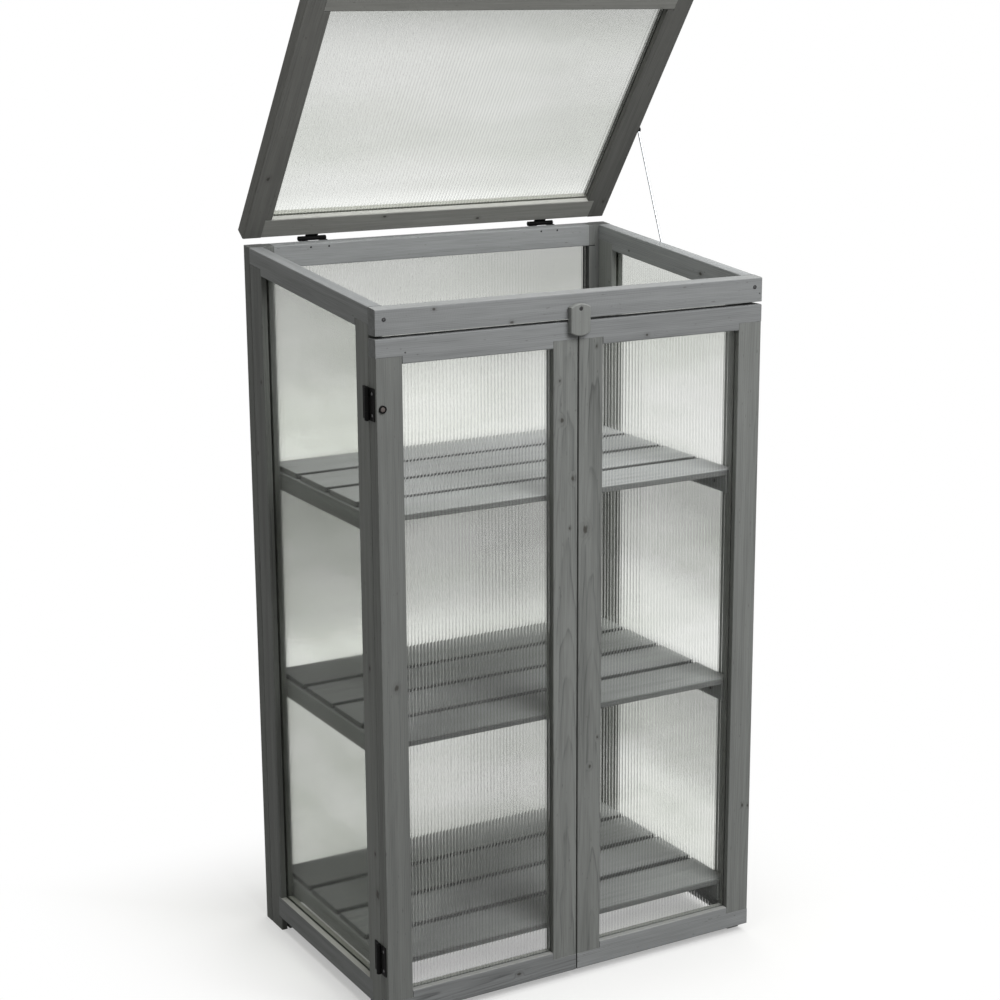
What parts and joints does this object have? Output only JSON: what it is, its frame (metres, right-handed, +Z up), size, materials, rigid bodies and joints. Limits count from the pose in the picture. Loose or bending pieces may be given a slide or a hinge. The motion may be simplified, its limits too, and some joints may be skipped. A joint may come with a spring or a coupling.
{
  "type": "mini greenhouse",
  "caption": "Free-standing wooden mini greenhouse with slatted shelves, translucent panes, hinged front doors and a hinged, propped lid.",
  "frame": {"origin": "on the floor, in the middle of the carcass's width and depth", "axes": "+Z up, +Y to the rear, +X to the right seen from the front; the doors face -Y"},
  "size_m": [0.7166, 0.5228, 1.6217],
  "materials": {
    "frame_wood": "grey stained softwood",
    "slat_wood": "grey stained softwood",
    "pane_sheet": "translucent fluted twin-wall sheet",
    "hinge_steel": "black satin",
    "stay_zinc": "bright zinc"
  },
  "bodies": {
    "carcass": {"left_front_post": "frame_wood", "left_rear_post": "frame_wood", "left_top_rail": "frame_wood", "left_bottom_rail": "frame_wood", "right_front_post": "frame_wood", "right_rear_post": "frame_wood", "right_top_rail": "frame_wood", "right_bottom_rail": "frame_wood", "left_pane": "pane_sheet", "right_pane": "pane_sheet", "rear_frame": "frame_wood", "rear_pane": "pane_sheet", "front_rail": "frame_wood", "bottom_bearer_left": "frame_wood", "bottom_bearer_right": "frame_wood", "bottom_slat_1": "slat_wood", "bottom_slat_2": "slat_wood", "bottom_slat_3": "slat_wood", "bottom_slat_4": "slat_wood", "middle_bearer_left": "frame_wood", "middle_bearer_right": "frame_wood", "middle_slat_1": "slat_wood", "middle_slat_2": "slat_wood", "middle_slat_3": "slat_wood", "middle_slat_4": "slat_wood", "top_bearer_left": "frame_wood", "top_bearer_right": "frame_wood", "top_slat_1": "slat_wood", "top_slat_2": "slat_wood", "top_slat_3": "slat_wood", "top_slat_4": "slat_wood", "left_upper_hinge_post_leaf": "hinge_steel", "left_lower_hinge_post_leaf": "hinge_steel", "right_upper_hinge_post_leaf": "hinge_steel", "right_lower_hinge_post_leaf": "hinge_steel", "lid_left_hinge_frame_leaf": "hinge_steel", "lid_right_hinge_frame_leaf": "hinge_steel"},
    "door_left": {"left_door_outer_stile": "frame_wood", "left_door_inner_stile": "frame_wood", "left_door_top_rail": "frame_wood", "left_door_bottom_rail": "frame_wood", "left_door_pane": "pane_sheet", "left_upper_hinge_door_leaf": "hinge_steel", "left_lower_hinge_door_leaf": "hinge_steel"},
    "door_right": {"right_door_outer_stile": "frame_wood", "right_door_inner_stile": "frame_wood", "right_door_top_rail": "frame_wood", "right_door_bottom_rail": "frame_wood", "right_door_pane": "pane_sheet", "right_upper_hinge_door_leaf": "hinge_steel", "right_lower_hinge_door_leaf": "hinge_steel"},
    "lid": {"lid_left_stile": "frame_wood", "lid_right_stile": "frame_wood", "lid_rear_rail": "frame_wood", "lid_front_rail": "frame_wood", "lid_pane": "pane_sheet", "lid_left_hinge_lid_leaf": "hinge_steel", "lid_right_hinge_lid_leaf": "hinge_steel"},
    "turn_button": {"turn_button": "frame_wood"},
    "stay": {"stay": "stay_zinc"}
  },
  "joints": [
    {"name": "door_left_hinge", "type": "hinge", "parent": "carcass", "child": "door_left", "pos_m": [-0.3543, -0.221, 0], "axis": [0, 0, -1], "range_deg": [0, 175]},
    {"name": "door_right_hinge", "type": "hinge", "parent": "carcass", "child": "door_right", "pos_m": [0.3543, -0.221, 0], "axis": [0, 0, 1], "range_deg": [0, 175]},
    {"name": "lid_hinge", "type": "hinge", "parent": "carcass", "child": "lid", "pos_m": [0, 0.254, 1.202], "axis": [-1, 0, 0], "range_deg": [-58.7, 116]},
    {"name": "turn_button_pivot", "type": "hinge", "parent": "carcass", "child": "turn_button", "pos_m": [-0.002, -0.2453, 1.132], "axis": [0, 1, 0], "range_deg": [-90, 90]},
    {"name": "stay_pivot", "type": "hinge", "parent": "carcass", "child": "stay", "pos_m": [0.354, 0.051, 1.16298], "axis": [1, 0, 0], "range_deg": [0, 117.7]}
  ]
}
